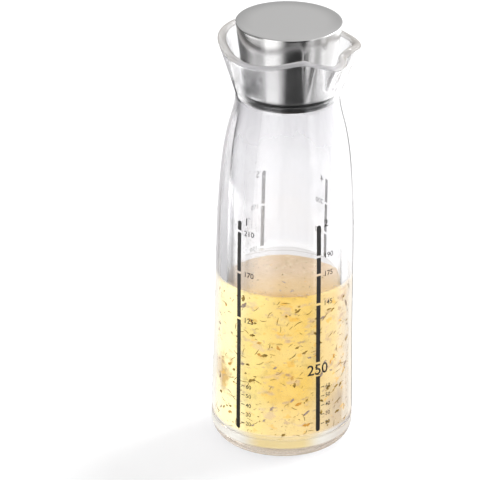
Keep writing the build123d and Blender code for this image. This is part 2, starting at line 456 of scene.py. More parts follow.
def rimPlace(angle):
    m = mouth
    aside = abs(math.degrees(math.remainder(angle, 2 * math.pi)))
    once, twice, thrice = (math.cos(n * angle) for n in (1, 2, 3))
    spread = m["spread"] - m["offset"] * once + m["oval"] * twice - m["threeWave"] * thrice
    rise = m["rise"] + m["tilt"] * once + m["saddle"] * twice + m["threeLift"] * thrice
    lip = bell(aside, 0, m["lipHalf"])
    pinch = bell(aside, m["pinchAngle"], m["pinchHalf"])
    reach = m["lipReach"] * lip - m["pinchDepth"] * pinch
    drop = m["lipDrop"] * lip + m["pinchDrop"] * pinch
    return spread, rise - drop, reach, m["wall"] + m["lipThickening"] * lip


def mouthRing(share, through, lift=0.0):
    # share of the way up to the rim, and of the way through the wall
    start = mouth["flareRound"]
    opened = (math.sqrt(share**2 + start**2) - start) / (math.sqrt(1 + start**2) - start)
    rootRadius = bottle["neckRadius"] + (bottle["boreRadius"] - bottle["neckRadius"]) * through

    def ring(angle):
        spread, rise, reach, wall = rimPlace(angle)
        radius = rootRadius + (bottle["neckRadius"] + spread - wall * through - rootRadius) * opened
        radius += reach * share ** mouth["lipFade"]
        return radius, bottle["neckHeight"] + rise * share + lift
    return ring


def makeBottle():
    b, m = bottle, mouth
    flat = b["domeRadius"]
    outer = [(r, b["dome"] * (1 - (r / flat) ** 2) ** 2) for r in b["domeRings"]]
    outer += [(flat, 0.0), (b["foot"], 0.0)]
    outer += cornerArc((b["foot"], b["corner"]), b["corner"], b["cornerStart"], 0, b["cornerSteps"])[:-1]
    outer += outerCurve[:-1]
    up = [mouthRing(share, 0) for share in m["flareShares"]]
    turns = np.linspace(0, math.pi, m["crownSteps"])[1:-1]
    rim = [mouthRing(1, 0.5 - 0.5 * math.cos(turn), m["crown"] * math.sin(turn)) for turn in turns]
    down = [mouthRing(share, 1) for share in reversed(m["flareShares"])]
    inside = list(reversed(innerCurve))[1:]
    line = dressing["level"] + dressing["climb"]
    nearest = min(range(len(inside)), key=lambda i: abs(inside[i][1] - line))
    inside[nearest] = (inside[nearest][0], line)  # a ring where the wet wall starts
    corner = b["floorCorner"]
    centre = (b["inside"][0][0] - corner, b["floor"] + corner)
    inside += list(reversed(cornerArc(centre, corner, -90, 0, b["floorSteps"])))[1:]
    inside += [(r, b["floor"]) for r in b["floorRings"]]
    points, faces = skinRings(outer + up + rim + down + inside, evenAngles(b["segments"]))
    ior, wave = glassLook["ior"], glassLook["waviness"]
    materials = [
        clearGlass("clear glass", ior, wave, outside=True),
        clearGlass("glass against dressing", glassLook["wetIor"], 0.0),
        clearGlass("clear glass with drops", ior, wave, drops=glassLook["dropDepth"]),
        clearGlass("clear glass at the rim", ior, wave, paintedRimLight=glassLook["rimShare"]),
    ]
    outsideSlot, wetSlot, drySlot, rimSlot = range(4)
    rowSlots = [outsideSlot] * (len(outer) + len(up) - 1) + [rimSlot] * (len(rim) + 1)
    rowSlots += [outsideSlot] * len(down)
    rowSlots += [drySlot] * nearest + [wetSlot] * (len(inside) - nearest - 1)
    slots = slotsOf(rowSlots, b["segments"])
    piece = addMesh("bottle_glass", points, faces, "bottle", materials, slots)
    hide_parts("glass_bottle")


makeBottle()
print("bottle made")


dressingLook = {
    "body": (0.98, 0.66, 0.15, 1), "pale": (1.0, 0.80, 0.34, 1), "peach": (1.0, 0.80, 0.42, 1),
    # light and bright: painted light on the left, and light also tints the surface's pale patches; edge and
    # rim: painted light at the sides; shaded and lowRight: painted shade on the right
    "light": (1.0, 0.93, 0.60, 1), "edge": (0.96, 0.86, 0.68, 1), "rim": (1.0, 0.95, 0.86, 1),
    "bright": (1.0, 0.82, 0.27, 1), "shaded": (0.80, 0.62, 0.40, 1), "lowRight": (0.56, 0.47, 0.39, 1),
    "smudge": (0.50, 0.35, 0.28, 1), "haze": (0.64, 0.47, 0.42, 1), "amber": (1.0, 0.55, 0.06, 1),
    "through": (1.0, 0.86, 0.50, 1), "cloud": 0.68, "shade": (0.84, 0.84, 0.84, 1),
    # sun and glow: the painted glow, its colour on the left and its strength over the whole dressing
    "sun": (3.0, 2.8, 1.55, 1), "glow": 0.31,
    "heights": {"peach": (12, 40), "shaded": (10, 34), "lowRight": (22, 40), "bottom": (8.5, 12.5)},
    "sides": {
        "bright": (1, 14), "glow": (3, 12), "shaded": (6, 16), "peach": (10, 18), "dim": (11, 18),
        "left": (13, 22), "lowRight": (15, 22), "edge": (20, 23.5), "rim": (23.6, 24.6),
    },
    # a darker smudge of spice against the wall, low on the left: aside and height, and its half sizes
    "stainPlace": (-24.0, 36.0), "stainSize": (3.2, 9.5), "stainRagged": 2.6, "brown": (0.64, 0.37, 0.12, 1),
    # cloudy spots: size of the noise, detail, flattening, start, end, share, colour
    "spots": [
        (120.0, 2.5, 1.7, 0.58, 0.70, 0.52, "haze"), (230.0, 3.0, 1.6, 0.60, 0.70, 0.62, "smudge"),
        (190.0, 2.0, 1.4, 0.62, 0.72, 0.60, "amber"), (1100.0, 2.0, 1.0, 0.62, 0.70, 0.30, "smudge"),
    ],
    # the surface, with painted shade towards the front and on the left, and a painted glow
    "surface": (0.77, 0.56, 0.34, 1), "deep": (0.66, 0.48, 0.26, 1), "dim": (0.50, 0.38, 0.25, 1),
    "front": (0.82, 0.55, 0.22, 1), "nearest": (0.68, 0.42, 0.15, 1), "surfaceGlow": 0.12,
    "fronts": {"front": (-4, 14), "nearest": (17, 25)},
    # froth round the far wall, and the line that a splash leaves
    "foam": (0.84, 0.82, 0.79, 1), "foamPlace": (9.46, -7.39), "foamRadius": 29.2, "foamEdge": 1.2,
    "splash": (0.50, 0.46, 0.42, 1), "splashRadius": 33.9, "splashWidth": 0.2, "splashEdge": 0.3,
}


def dressingMaterial():
    made, s = newMaterial("herb dressing")
    look = dressingLook
    where = onObject(s)
    height, aside = heightOf(where), asideOf(where)
    above = fades(height, look["heights"])
    rightOf, leftOf = fades(aside, look["sides"]), fades(aside * -1, look["sides"])
    offAxis = fades(aside.atLeast(aside * -1), look["sides"])
    broad = s.noise(where, 45.0, 2.0).over(0.35, 0.68)
    colour = (broad * 0.8).tint(look["body"], look["pale"])
    colour = rightOf("peach").tint(colour, look["peach"])
    colour = ((1 - above("peach")) * 0.45).tint(colour, look["peach"])
    # painted light: brighter yellow on the left, paler still at the far left, where light shines through
    colour = (leftOf("bright") * 0.75).tint(colour, look["bright"])
    left = (aside * -1 + broad * 2).over(*look["sides"]["left"])
    colour = left.tint(colour, look["light"])
    across = (aside - look["stainPlace"][0]) / look["stainSize"][0]
    up = (height - look["stainPlace"][1]) / look["stainSize"][1]
    spread = (across * across + up * up) ** 0.5 + (s.noise(where, 170.0, 3.0) - 0.5) * look["stainRagged"]
    stain = 1 - spread.over(0.3, 1.2)
    colour = (stain * 0.85).tint(colour, look["brown"])
    # painted light at the right edge, then painted shade on the right, darkest low down
    colour = rightOf("edge").tint(colour, look["edge"])
    colour = (rightOf("shaded") * (1 - above("shaded")) * 0.5).tint(colour, look["shaded"])
    colour = (rightOf("lowRight") * (1 - above("lowRight")) * 0.85).tint(colour, look["lowRight"])
    # painted light: paler where the dressing's sides and bottom meet the glass
    outermost = offAxis("rim").atLeast(1 - above("bottom"))
    colour = (outermost * 0.8).tint(colour, look["rim"])
    for scale, detail, flat, start, end, share, name in look["spots"]:
        spots = s.noise(s.stretched(where, (1, 1, flat)), scale, detail).over(start, end)
        colour = (spots * share).tint(colour, look[name])
    # painted light: the dressing glows a little all over, yellow-white on the left, but not in the spice
    # smudge
    sunlit = left.atLeast(leftOf("glow") * 0.3) * (1 - stain) * 0.8
    liquid = paint(s, {
        "Base Color": colour, "Roughness": 0.5, "Specular IOR Level": 0.0,
        "Emission Color": sunlit.tint(colour, look["sun"]), "Emission Strength": look["glow"],
    })
    seen = shaderMix(s, look["cloud"], clearShader(s, look["through"]), liquid)
    return finishMaterial(made, lampsPass(s, seen, look["shade"]))


def surfaceMaterial():
    made, s = newMaterial("dressing surface")
    look = dressingLook
    where = onObject(s)
    nearer = fades(nearerOf(where), look["fronts"])
    leftOf = fades(asideOf(where) * -1, look["sides"])
    soft = s.noise(where, 300.0, 3.0).over(0.50, 0.75)
    patches = s.noise(where, 130.0, 3.0).over(0.45, 0.65)
    specks = s.noise(s.stretched(where, (1, 1.8, 1)), 900.0, 2.0).over(0.66, 0.72)
    colour = (soft * 0.35).tint(look["surface"], look["light"])
    colour = (patches * 0.5).tint(colour, look["deep"])
    colour = (specks * 0.5).tint(colour, look["smudge"])
    # painted shade: more orange and then darker towards the front, and darker on the left
    colour = (nearer("front") * 0.8).tint(colour, look["front"])
    colour = nearer("nearest").tint(colour, look["nearest"])
    colour = (leftOf("dim") * 0.75).tint(colour, look["dim"])
    middle = tuple(v * mm for v in (*look["foamPlace"], dressing["level"]))
    offset = s.node("VectorMath", {"operation": "SUBTRACT"}, {0: where, 1: middle})
    away = s.node("VectorMath", {"operation": "LENGTH"}, {0: offset}, "Value") / mm
    away = away + (s.noise(where, 200.0, 3.0) - 0.5) * 2.0
    colour = away.over(look["foamRadius"], look["foamRadius"] + look["foamEdge"]).tint(colour, look["foam"])
    inner, outer = look["splashRadius"], look["splashRadius"] + look["splashWidth"]
    line = away.over(inner - look["splashEdge"], inner) * (1 - away.over(outer, outer + look["splashEdge"]))
    colour = (line * 0.7).tint(colour, look["splash"])
    ripples = s.noise(where, 350.0, 3.0)
    bump = s.node("Bump", None, {"Height": ripples, "Strength": 0.2, "Distance": 0.4 * mm})
    # painted light: the surface glows a little
    return finishMaterial(made, paint(s, {
        "Base Color": colour, "Roughness": 0.2, "IOR": 1.36, "Specular IOR Level": 0.35, "Normal": bump,
        "Emission Color": colour, "Emission Strength": look["surfaceGlow"],
    }))


def hollowRadius(height):
    # the hollow's radius at a height, down to the rounded corner at its floor
    if height >= innerCurve[0][1]:
        return radiusOn(innerCurve, height)
    corner = bottle["floorCorner"]
    rise = min(corner, max(0.0, height - bottle["floor"]))
    return innerCurve[0][0] - corner + math.sqrt(max(0.0, corner**2 - (corner - rise) ** 2))


def makeDressing():
    d = dressing
    floor, corner = bottle["floor"] + d["gap"], bottle["floorCorner"]
    side = bottle["inside"][0][0] - d["gap"]
    rings = [(r, floor) for r in d["floorRings"]]
    rings += cornerArc((side - corner, floor + corner), corner, -90, 0, bottle["floorSteps"])[:-1]
    heights = np.linspace(floor + corner, d["level"] + d["climb"], d["sideRings"])
    rings += [(hollowRadius(z) - d["gap"], z) for z in heights]
    # the top, which climbs a little at the glass
    edge = rings[-1][0]
    top = [(edge - i, d["level"] + d["climb"] * math.exp(-i / d["climbFade"])) for i in d["topInsets"]]
    points, faces = skinRings(rings + top, evenAngles(d["segments"]))
    slots = slotsOf([0] * (len(rings) - 1) + [1] * len(top), d["segments"])
    materials = [dressingMaterial(), surfaceMaterial()]
    piece = addMesh("dressing_liquid", points, faces, "bottle", materials, slots)
    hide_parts("dressing")


makeDressing()


flakes = {
    # name: how many on the wall, how many deeper, length, width, bend, ragged, colours
    "dressing_herb_slivers": dict(
        wall=560, deep=280, long=(0.4, 4.4), wide=(0.14, 0.36), bend=0.7, ragged=0.2,
        colours=((0.17, 0.105, 0.015, 1), (0.48, 0.28, 0.05, 1))),
    "dressing_leaf_flakes": dict(
        wall=150, deep=120, long=(0.6, 3.6), wide=(0.35, 1.8), bend=0.3, ragged=0.55,
        colours=((0.28, 0.17, 0.03, 1), (0.62, 0.40, 0.09, 1))),
    "dressing_spice_flakes": dict(
        wall=26, deep=20, long=(1.6, 3.6), wide=(0.9, 1.7), bend=0.2, ragged=0.6,
        colours=((0.90, 0.42, 0.06, 1), (0.95, 0.58, 0.16, 1))),
    "dressing_onion_flakes": dict(
        wall=46, deep=60, long=(1.8, 4.6), wide=(0.8, 1.8), bend=0.3, ragged=0.6,
        colours=((0.50, 0.37, 0.29, 1), (0.66, 0.50, 0.36, 1))),
}
flakePlaces = {
    "thick": 0.02, "stations": 7, "firstSeed": 11,
    "wallGap": 0.05, "wallLow": 10.5, "wallBelow": 1.5, "slope": 25, "slopeSpread": 38,
    "deepLow": 13, "deepBelow": 3, "deepIn": 3.2, "deepFrom": 0.72,
    "nod": 0.5, "roll": 0.4, "rollSpread": 0.6,
    "wallPerAfloat": 10, "afloatIn": 2.0, "afloatLift": 0.03, "afloatSize": 0.6,
}


def flakeStrip(chance, look):
    # one flake, lying flat: its stations along the length, each with a left and a right edge
    small = chance.random() ** 1.8  # most are small
    length = look["long"][0] + small * (look["long"][1] - look["long"][0])
    width = look["wide"][0] + (0.6 * small + 0.4 * chance.random()) * (look["wide"][1] - look["wide"][0])
    bend = chance.uniform(-1, 1) * look["bend"] * length * 0.25
    stations = []
    for t in np.linspace(0, 1, flakePlaces["stations"]):
        half = width / 2 * (0.18 + 0.82 * math.sin(math.pi * t) ** 0.6)
        left = half * (1 + look["ragged"] * chance.uniform(-1, 0.6))
        right = half * (1 + look["ragged"] * chance.uniform(-1, 0.6))
        along = (t - 0.5) * length
        aside = bend * (1 - (2 * t - 1) ** 2)
        stations.append((along, aside + left, aside - right))
    return stations


def flakeMaterial(name, colours):
    made, s = newMaterial(name)
    where = onObject(s)
    colour = s.noise(where, 420.0, 2.0).over(0.35, 0.65).tint(*colours)
    return finishMaterial(made, paint(s, {
        "Base Color": colour, "Roughness": 0.6, "Specular IOR Level": 0.1,
    }))


def turned(along, aside, heading):
    return (
        along * math.cos(heading) - aside * math.sin(heading),
        along * math.sin(heading) + aside * math.cos(heading),
    )


def makeFlakes(name, look, seed):
    p, level = flakePlaces, dressing["level"]
    chance = random.Random(seed)
    points, faces = [], []

    def addStrip(stations, place):
        thick = p["thick"]
        start = len(points)
        for along, left, right in stations:
            points.extend([place(along, left, thick), place(along, right, thick)])
            points.extend([place(along, right, -thick), place(along, left, -thick)])
        for a in range(start, len(points) - 4, 4):
            for k in range(4):
                n = (k + 1) % 4
                faces.append((a + k, a + n, a + 4 + n, a + 4 + k))
        last = len(points) - 4
        faces.append((start + 3, start + 2, start + 1, start))
        faces.append((last, last + 1, last + 2, last + 3))

    for _ in range(look["wall"]):
        angle, height = chance.uniform(0, 2 * math.pi), chance.uniform(p["wallLow"], level - p["wallBelow"])
        slope = math.radians(chance.gauss(p["slope"], p["slopeSpread"]))

        def onWall(along, aside, lift):
            u, v = turned(along, aside, slope)
            v = min(v + height, level)
            r = hollowRadius(v) - p["wallGap"] + lift
            return r * math.cos(angle + u / r), r * math.sin(angle + u / r), v
        addStrip(flakeStrip(chance, look), onWall)
    for _ in range(look["deep"]):
        height = chance.uniform(p["deepLow"], level - p["deepBelow"])
        reach = (hollowRadius(height) - p["deepIn"]) * chance.uniform(p["deepFrom"], 1)
        angle = chance.uniform(0, 2 * math.pi)
        centre = Vector((reach * math.cos(angle), reach * math.sin(angle), height))
        tilt = Matrix.Rotation(angle, 3, "Z") @ Matrix.Rotation(chance.gauss(0, p["nod"]), 3, "Y")
        tilt = tilt @ Matrix.Rotation(chance.gauss(p["roll"], p["rollSpread"]), 3, "X")

        def floating(along, aside, lift):
            return tuple(centre + tilt @ Vector((lift, along, aside)))
        addStrip(flakeStrip(chance, look), floating)
    for _ in range(look["wall"] // p["wallPerAfloat"]):
        reach = (dressing["top"] - p["afloatIn"]) * math.sqrt(chance.random())
        angle = chance.uniform(0, 2 * math.pi)
        heading = chance.uniform(0, math.pi)

        def onTop(along, aside, lift):
            u, v = turned(along, aside, heading)
            return reach * math.cos(angle) + u, reach * math.sin(angle) + v, level + p["afloatLift"] + lift
        strip = flakeStrip(chance, look)
        addStrip([tuple(v * p["afloatSize"] for v in station) for station in strip], onTop)
    material = flakeMaterial(name.replace("_", " "), look["colours"])
    addMesh(name, points, faces, "bottle", [material])


for seed, (name, look) in enumerate(flakes.items()):
    makeFlakes(name, look, seed + flakePlaces["firstSeed"])
print("dressing made")


bubbles = {
    "count": 34, "seed": 31, "size": (0.28, 0.72), "spread": 70, "gap": 0.05, "rise": 0.45, "flat": 0.8,
    "skin": ((1.0, 0.92, 0.72, 1), (1.0, 0.97, 0.88, 1)), "clear": (0.96, 0.93, 0.86, 1),
}


def makeBubbles():
    # air bubbles afloat against the wall, most of them on the camera's side
    b = bubbles
    chance = random.Random(b["seed"])
    shape = bmesh.new()
    for _ in range(b["count"]):
        radius = b["size"][0] + chance.random() ** 2 * (b["size"][1] - b["size"][0])
        angle = math.radians(chance.gauss(0, b["spread"]) - lipAside)
        reach = dressing["top"] - radius - b["gap"]
        height = dressing["level"] + b["rise"] * radius
        centre = Vector((reach * math.cos(angle), reach * math.sin(angle), height)) * mm
        place = Matrix.Translation(centre) @ Matrix.Diagonal((1, 1, b["flat"], 1))
        bmesh.ops.create_icosphere(shape, subdivisions=3, radius=radius * mm, matrix=place)
    mesh = bpy.data.meshes.new("dressing_bubbles")
    shape.to_mesh(mesh)
    shape.free()
    made, s = newMaterial("bubble skin")
    where = onObject(s)
    facing = s.node("LayerWeight", None, {"Blend": 0.5}, "Facing")
    skin = s.noise(where, 500.0, 2.0).tint(*b["skin"])
    wet = paint(s, {"Base Color": skin, "Roughness": 0.05, "IOR": 1.33})
    share = facing.over(0.25, 0.9) * 0.8 + 0.08
    mesh.materials.append(finishMaterial(made, shaderMix(s, share, clearShader(s, b["clear"]), wet)))
    placePiece("dressing_bubbles", mesh, "bottle")


makeBubbles()


scales = {
    "width": 2.1, "low": 13.9, "high": 114.7, "gapHeight": 1.1, "thick": 0.03, "lift": 0.05,
    "rowStep": 1.5, "roundFrom": 0.25, "roundSteps": 6, "sharp": 40, "weld": 0.002,
    # world angle of each bar, and the heights of its gaps with their numbers
    "bars": [
        (-78, {67.8: "125", 90.0: "170", 109.7: "210"}),
        (-8, {76.7: "145", 91.0: "175", 99.8: "190"}),
        (47, {67.8: "125", 80.0: "150", 104.0: "200"}),
        (96, {89.6: "170", 104.0: "200"}),
        (165.5, {79.0: "150", 99.4: "190"}),
        (217, {67.8: "125", 90.0: "170", 109.7: "210"}),
    ],
    "rearRaise": 1.5, "lean": 0.0003, "leanFirst": 0.0007, "leanFrom": 77.0,
    "labelAside": 2.6, "numberHeight": 2.5, "numberBold": 0.022,
    "titleHeight": 3.4, "titleBold": 0.03, "titleDrop": 1.2,
    # the wide gap in the second bar, with the bottle's volume across it
    "bareGap": (41.3, 48.3), "bareGapBar": 1,
    "capacity": "250", "capacityAside": -5.4, "capacityRaise": 1.0,
    "capacityHeight": 5.2, "capacityBold": 0.035,
    # the small marks near the base, each with a tick
    "lowMarks": {17.3: "20", 21.9: "30", 26.4: "40", 31.0: "50", 35.5: "60"},
    "tick": (1.6, 3.4), "tickHalf": 0.15, "lowAside": 4.0, "lowHeight": 2.0, "lowBold": 0.012,
    "fontShare": 1.38, "boldShare": 1 / 2.4,  # a letter's size and thickening for each millimetre of height
    "ink": ((0.012, 0.011, 0.010, 1), (0.030, 0.028, 0.026, 1)), "inkShare": 0.93,
}


def inkMaterial():
    made, s = newMaterial("black enamel print")
    where = onObject(s)
    colour = s.noise(where, 1500.0, 2.0).tint(*scales["ink"])
    ink = paint(s, {"Base Color": colour, "Roughness": 0.45})
    return finishMaterial(made, shaderMix(s, scales["inkShare"], clearShader(s, white), ink))


def onGlass(angle, across, height, lift):
    radius = radiusOn(outerCurve, height) + lift
    lean = scales["leanFirst"] if angle < -1 else scales["lean"]
    turn = angle + across / radius + lean * (scales["leanFrom"] - height)
    return radius * math.cos(turn), radius * math.sin(turn), height


def addPatch(points, faces, angle, low, high, left, right, roundLow=False, roundHigh=False):
    # a printed stripe: rows of four points just off the glass, and of four above them
    c = scales
    half, middle = (right - left) / 2, (right + left) / 2
    steps = max(2, int((high - low) / c["rowStep"]))
    rows = [low + (high - low) * i / steps for i in range(steps + 1)]
    arc = [half * (1 - math.cos(a)) for a in np.linspace(c["roundFrom"], math.pi / 2, c["roundSteps"])]
    if roundLow:
        rows = [low + rise for rise in arc] + [z for z in rows if z > low + half * 1.1]
    if roundHigh:
        rows = [z for z in rows if z < high - half * 1.1] + [high - rise for rise in reversed(arc)]
    start = len(points)
    for z in rows:
        wide = half
        if roundLow and z < low + half:
            wide = math.sqrt(max(0.02, half**2 - (low + half - z) ** 2))
        if roundHigh and z > high - half:
            wide = math.sqrt(max(0.02, half**2 - (z - high + half) ** 2))
        for lift in (c["lift"], c["lift"] + c["thick"]):
            for k in range(4):
                points.append(onGlass(angle, middle + wide * (2 * k / 3 - 1), z, lift))
    for i in range(len(rows) - 1):
        a, b = start + 8 * i, start + 8 * i + 8
        for k in range(3):
            faces.append((a + k, a + k + 1, b + k + 1, b + k))
            faces.append((a + 4 + k + 1, a + 4 + k, b + 4 + k, b + 4 + k + 1))
        faces.append((a, b, b + 4, a + 4))
        faces.append((a + 3, a + 7, b + 7, b + 3))
    for base in (start, start + 8 * (len(rows) - 1)):
        for k in range(3):
            faces.append((base + k, base + k + 1, base + 5 + k, base + 4 + k))


def addLabel(points, faces, text, angle, across, height, size, bold):
    c = scales
    letters = bpy.data.curves.new("number", "FONT")
    letters.body, letters.size, letters.offset = text, size * c["fontShare"], bold * size * c["boldShare"]
    letters.extrude, letters.resolution_u = c["thick"] / 2, 3
    holder = addObject("number", letters)
    shape = bpy.data.meshes.new_from_object(holder.evaluated_get(bpy.context.evaluated_depsgraph_get()))
    start = len(points)
    for v in shape.vertices:
        points.append(onGlass(angle, across + v.co.x, height + v.co.y, c["lift"] + c["thick"] / 2 + v.co.z))
    faces += [tuple(start + i for i in f.vertices) for f in shape.polygons]
    bpy.data.objects.remove(holder)
    bpy.data.curves.remove(letters)
    bpy.data.meshes.remove(shape)


def makeScales():
    c = scales
    ink = inkMaterial()
    points, faces, labels = [], [], []
    for number, (degrees, marks) in enumerate(c["bars"]):
        angle = math.radians(degrees)
        raised = c["rearRaise"] if number > c["bareGapBar"] else 0.0
        cuts = [(z - c["gapHeight"] / 2, z + c["gapHeight"] / 2) for z in marks]
        if number == c["bareGapBar"]:
            cuts.append(c["bareGap"])
            height, size = c["bareGap"][0] + c["capacityRaise"], c["capacityHeight"]
            labels.append((c["capacity"], angle, c["capacityAside"], height, size, c["capacityBold"]))
        edges = [c["low"]] + [z for cut in sorted(cuts) for z in cut] + [c["high"] + raised]
        for i in range(0, len(edges), 2):
            ends = (i == 0, i + 2 == len(edges))
            addPatch(points, faces, angle, edges[i], edges[i + 1], -c["width"] / 2, c["width"] / 2, *ends)
        title = c["high"] - c["titleDrop"]
        labels.append((str(number + 1), angle, c["labelAside"], title, c["titleHeight"], c["titleBold"]))
        for z, text in marks.items():
            size = c["numberHeight"]
            labels.append((text, angle, c["labelAside"], z - size / 2, size, c["numberBold"]))
        for z, text in c["lowMarks"].items():
            addPatch(points, faces, angle, z - c["tickHalf"], z + c["tickHalf"], *c["tick"])
            labels.append((text, angle, c["lowAside"], z - c["lowHeight"] / 2, c["lowHeight"], c["lowBold"]))
    addMesh("scale_bars", points, faces, "bottle", [ink], sharp=c["sharp"])
    points, faces = [], []
    for label in labels:
        addLabel(points, faces, *label)
    numbers = addMesh("scale_numbers", points, faces, "bottle", [ink], sharp=c["sharp"])
    shape = bmesh.new()
    shape.from_mesh(numbers.data)
    bmesh.ops.remove_doubles(shape, verts=shape.verts, dist=c["weld"] * mm)
    shape.to_mesh(numbers.data)
    shape.free()


makeScales()
print("scales made")


lid = {
    "top": 200.0, "bottom": 169.1, "topRadius": 23.3, "bottomRadius": 19.1, "wall": 0.7, "topWall": 0.9,
    "edge": 0.4, "edgeSteps": 6, "topDepth": 0.05,
    "hemRadius": 17.5, "hemThick": 0.8, "hemEdge": (0.02, 0.15), "hemRound": 0.2,
    "topRings": (1, 6, 12, 18, 21.5), "innerRings": (8, 1), "sideShares": (0.03, 0.985), "sideRings": 24,
    "collarBottom": 168.3, "sealBottom": 165.4, "sealRadius": 20.32, "sealGap": 0.05,
    "lipHalf": 0.62, "lipShares": (0.25, 0.75), "lipTurn": 75, "lipSteps": 9,
    "webRadius": 19.34, "spigotRadius": 16.8,
    "shellSides": 256, "shellSharp": 30, "sealSides": 192, "sealSharp": 40,
}
steelLook = {
    "colour": (0.60, 0.595, 0.59), "darkShare": 0.93, "topShare": 0.93, "topRough": 0.42,
    "sideRough": 0.20, "sideStretch": 0.85,
    "shade": (0.10, 0.10, 0.10, 1), "shadeFrom": (15, 23.5), "shadeEnd": (-4, 16),
}
blackLook = {
    "colours": ((0.003, 0.003, 0.003, 1), (0.009, 0.009, 0.009, 1)),
    "plasticRough": 0.3, "plasticIor": 1.45, "siliconeRough": 0.16, "siliconeIor": 2.2,
}


def brushedSteel(name, rough, stretch, top):
    made, s = newMaterial(name)
    look = steelLook
    where = onObject(s)
    if top:
        lines = s.noise(where, 2600.0, 2.0, 0.7)
    else:
        lines = s.noise(s.stretched(where, (0.06, 0.06, 1)), 5200.0, 3.0, 0.7)
    # painted shade: the top is a little darker than the side
    share = look["topShare"] if top else 1.0
    light = tuple(c * share for c in look["colour"]) + (1,)
    dark = tuple(c * share * look["darkShare"] for c in look["colour"]) + (1,)
    colour = lines.over(0.25, 0.75).tint(dark, light)
    if top:  # a soft shade round the rim, all but at the lip's left
        x, y = where.part("X"), where.part("Y")
        radius = (x * x + y * y) ** 0.5 / mm
        shade = radius.over(*look["shadeFrom"]) * (1 - nearerOf(where).over(*look["shadeEnd"]) * 1.2)
        colour = (shade * 0.28 + 0.02).tint(colour, look["shade"])
    return finishMaterial(made, paint(s, {
        "Base Color": colour, "Metallic": 1.0, "Roughness": rough,
        "Anisotropic": stretch, "Anisotropic Rotation": 0.25,
    }))


def blackPolymer(name, rough, ior):
    made, s = newMaterial(name)
    where = onObject(s)
    colour = s.noise(where, 900.0, 2.0).tint(*blackLook["colours"])
    return finishMaterial(made, paint(s, {
        "Base Color": colour, "Roughness": rough, "IOR": ior,
    }))


def makeShell():
    g = lid
    slope = (g["topRadius"] - g["bottomRadius"]) / (g["top"] - g["bottom"])
    outline = [(r, g["top"]) for r in g["topRings"]]
    centre = (g["topRadius"] - g["edge"], g["top"] - g["edge"])
    outline += reversed(cornerArc(centre, g["edge"], 0, 90, g["edgeSteps"]))
    for share in np.linspace(*g["sideShares"], g["sideRings"]):
        radius = g["topRadius"] - share * (g["topRadius"] - g["bottomRadius"])
        outline.append((radius, g["top"] - share * (g["top"] - g["bottom"])))
    outline.append((g["bottomRadius"] - g["hemEdge"][0], g["bottom"] + g["hemEdge"][1]))
    outline += [(g["bottomRadius"] - g["hemRound"], g["bottom"]), (g["hemRadius"], g["bottom"])]
    hemTop = g["bottom"] + g["hemThick"]
    innerTop = g["top"] - g["topWall"]
    outline += [(g["hemRadius"], hemTop), (g["bottomRadius"] - g["wall"] + slope * g["hemThick"], hemTop)]
    outline += [(g["topRadius"] - g["wall"] - slope * g["topWall"], innerTop)]
    outline += [(r, innerTop) for r in g["innerRings"]]
    look = steelLook
    side = brushedSteel("brushed steel side", look["sideRough"], look["sideStretch"], False)
    shell = spun("lid_steel_shell", outline, "lid", side, g["shellSides"], g["shellSharp"])
    shell.data.materials.append(brushedSteel("brushed steel top", look["topRough"], 0.0, True))
    for face in shell.data.polygons:
        if face.center.z > (g["top"] - g["topDepth"]) * mm:
            face.material_index = 1
    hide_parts("lid_shell")


def makeSeal():
    # two soft lips on a web round the spigot
    g = lid
    inner = g["spigotRadius"] + g["sealGap"]
    height = g["collarBottom"] - g["sealBottom"]
    outline = [(inner, g["sealBottom"]), (g["webRadius"], g["sealBottom"])]
    for share in g["lipShares"]:
        centre = (g["sealRadius"] - g["lipHalf"], g["sealBottom"] + height * share)
        outline += cornerArc(centre, g["lipHalf"], -g["lipTurn"], g["lipTurn"], g["lipSteps"])
    outline += [(g["webRadius"], g["collarBottom"]), (inner, g["collarBottom"])]
    silicone = blackPolymer("black silicone", blackLook["siliconeRough"], blackLook["siliconeIor"])
    sides, sharp = g["sealSides"], g["sealSharp"]
    piece = spun("lid_seal_ring", outline, "lid", silicone, sides, sharp, loop=True)
    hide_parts("lid_seal")


makeShell()
makeSeal()
plastic = blackPolymer("black moulded plastic", blackLook["plasticRough"], blackLook["plasticIor"])
for nodeName in ("lid_core", "lid_base_cover"):
    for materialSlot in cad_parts[nodeName].material_slots:
        materialSlot.material = plastic
print("lid made")


studio = {
    "lens": 295.03, "distance": 1578.97, "height": 840.77, "yaw": -0.01262, "pitch": 0.44138, "roll": 0.01401,
    "turn": 52.0,  # degrees from the photograph's frame to the part's
    "sensor": 36.0, "clipStart": 0.05, "clipEnd": 50.0,
    "bounces": 28, "glossyBounces": 20,  # light goes a long way inside the thick glass
}
keyLamp = {
    "aside": 125, "elevation": 42,  # degrees from the camera's side to the right, and up
    "distance": 1.6, "size": 0.6, "power": 12.6, "target": 0.1,
}
